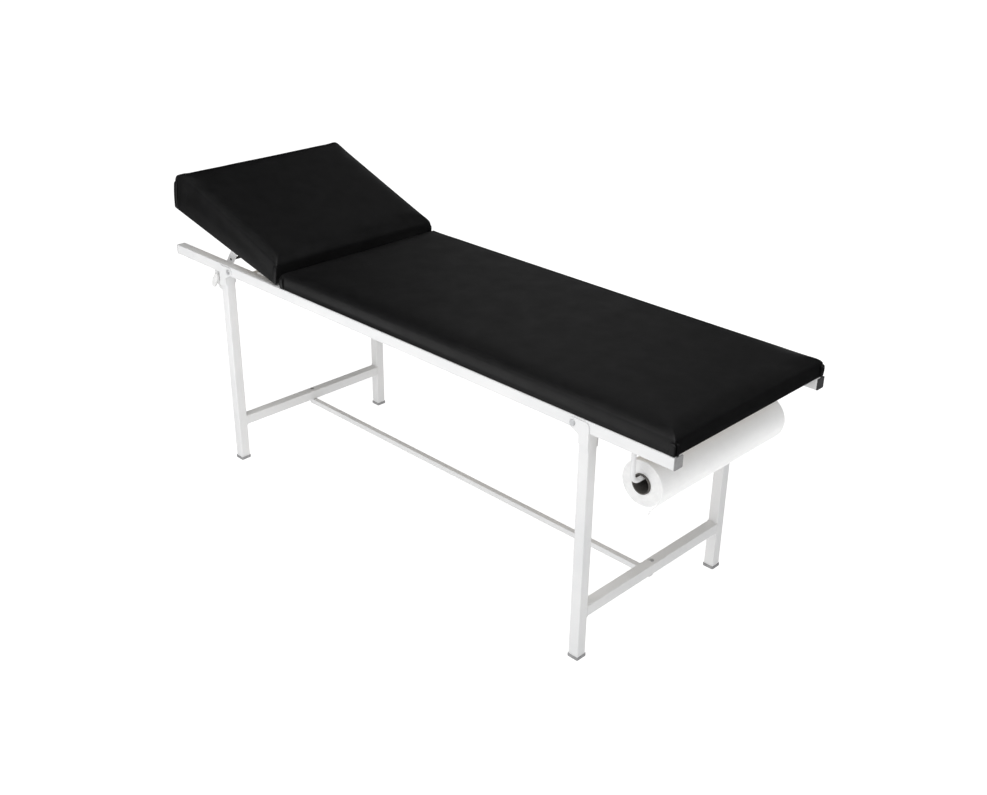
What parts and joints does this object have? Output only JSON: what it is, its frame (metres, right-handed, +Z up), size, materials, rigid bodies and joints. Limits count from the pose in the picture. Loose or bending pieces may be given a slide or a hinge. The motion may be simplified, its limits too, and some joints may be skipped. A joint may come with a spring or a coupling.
{
  "type": "medical exam table",
  "caption": "Padded medical examination table with a tilting wedge headrest, folding tube legs, a stretcher and a paper roll hung under the foot end.",
  "frame": {"origin": "on the floor under the centre of the table", "axes": "+X towards the foot end, -Y the near side, +Z up"},
  "size_m": [1.92, 0.6124, 0.8978],
  "materials": {
    "white_paint": "satin",
    "black_upholstery": "satin",
    "plywood": "matte",
    "grey_plastic": "matte",
    "white_plastic": "satin",
    "zinc_steel": "satin",
    "black_steel": "satin",
    "cardboard": "matte",
    "paper": "matte"
  },
  "bodies": {
    "table": {"side_rail_near": "white_paint", "side_rail_far": "white_paint", "rail_cap_head_near": "grey_plastic", "rail_cap_head_far": "grey_plastic", "rail_cap_foot_near": "grey_plastic", "rail_cap_foot_far": "grey_plastic", "cross_tube_headrest": "white_paint", "cross_tube_hinge": "white_paint", "cross_tube_middle": "white_paint", "cross_tube_foot": "white_paint", "mattress_board": "plywood", "mattress": "black_upholstery", "hinge_leaf_fixed_near": "zinc_steel", "hinge_leaf_fixed_far": "zinc_steel", "hinge_pin_near": "zinc_steel", "hinge_pin_far": "zinc_steel", "clamp_plate_near": "white_paint", "clamp_plate_far": "white_paint"},
    "headrest": {"headrest_board": "plywood", "headrest_cushion": "black_upholstery", "hinge_leaf_moving_near": "zinc_steel", "hinge_leaf_moving_far": "zinc_steel", "strut_lug_near": "white_paint", "strut_lug_far": "white_paint"},
    "struts": {"strut_near": "white_paint", "strut_far": "white_paint", "strut_rod": "black_steel"},
    "clamp_near": {"clamp_stud_near": "zinc_steel", "wing_knob_near": "white_plastic"},
    "clamp_far": {"clamp_stud_far": "zinc_steel", "wing_knob_far": "white_plastic"},
    "head_leg_frame": {"crossbar_head": "white_paint", "stretcher_bolt_head": "zinc_steel", "leg_head_near": "white_paint", "foot_cap_head_near": "grey_plastic", "pivot_plate_outer_head_near": "white_paint", "pivot_plate_inner_head_near": "white_paint", "pivot_bolt_head_near": "zinc_steel", "leg_head_far": "white_paint", "foot_cap_head_far": "grey_plastic", "pivot_plate_outer_head_far": "white_paint", "pivot_plate_inner_head_far": "white_paint", "pivot_bolt_head_far": "zinc_steel"},
    "foot_leg_frame": {"crossbar_foot": "white_paint", "stretcher_bolt_foot": "zinc_steel", "leg_foot_near": "white_paint", "foot_cap_foot_near": "grey_plastic", "pivot_plate_outer_foot_near": "white_paint", "pivot_plate_inner_foot_near": "white_paint", "pivot_bolt_foot_near": "zinc_steel", "leg_foot_far": "white_paint", "foot_cap_foot_far": "grey_plastic", "pivot_plate_outer_foot_far": "white_paint", "pivot_plate_inner_foot_far": "white_paint", "pivot_bolt_foot_far": "zinc_steel"},
    "stretcher_bar": {"stretcher": "white_paint"},
    "roll_hanger": {"roll_holder": "white_paint"},
    "roll": {"roll_core": "cardboard", "paper_roll": "paper"}
  },
  "joints": [
    {"name": "headrest_tilt", "type": "hinge", "parent": "table", "child": "headrest", "pos_m": [-0.44, 0, 0.657], "axis": [0, 1, 0], "range_deg": [-13, 8]},
    {"name": "strut_swing", "type": "hinge", "parent": "headrest", "child": "struts", "pos_m": [-0.69536, 0, 0.70672], "axis": [0, 1, 0], "range_deg": [-15.5, 25.1]},
    {"name": "clamp_near_turn", "type": "hinge", "parent": "table", "child": "clamp_near", "pos_m": [-0.77522, -0.276, 0.59052], "axis": [0, 1, 0], "range_deg": [0, 180]},
    {"name": "clamp_far_turn", "type": "hinge", "parent": "table", "child": "clamp_far", "pos_m": [-0.77522, 0.276, 0.59052], "axis": [0, 1, 0], "range_deg": [-180, 0]},
    {"name": "head_legs_fold", "type": "hinge", "parent": "table", "child": "head_leg_frame", "pos_m": [-0.678, 0, 0.644], "axis": [0, -1, 0], "range_deg": [0, 90]},
    {"name": "foot_legs_fold", "type": "hinge", "parent": "table", "child": "foot_leg_frame", "pos_m": [0.678, 0, 0.644], "axis": [0, 1, 0], "range_deg": [0, 90]},
    {"name": "stretcher_lift_off", "type": "slide", "parent": "table", "child": "stretcher_bar", "axis": [0, 0, -1], "range_m": [0, 0.07]},
    {"name": "roll_holder_pull", "type": "slide", "parent": "table", "child": "roll_hanger", "axis": [0, 0, -1], "range_m": [0, 0.04]},
    {"name": "roll_spin", "type": "hinge", "parent": "roll_hanger", "child": "roll", "pos_m": [0.842, 0, 0.531], "axis": [0, 1, 0], "continuous": true}
  ],
  "couplings": [
    {"joint": "strut_swing", "follows": "headrest_tilt", "ratio": -1.917}
  ]
}
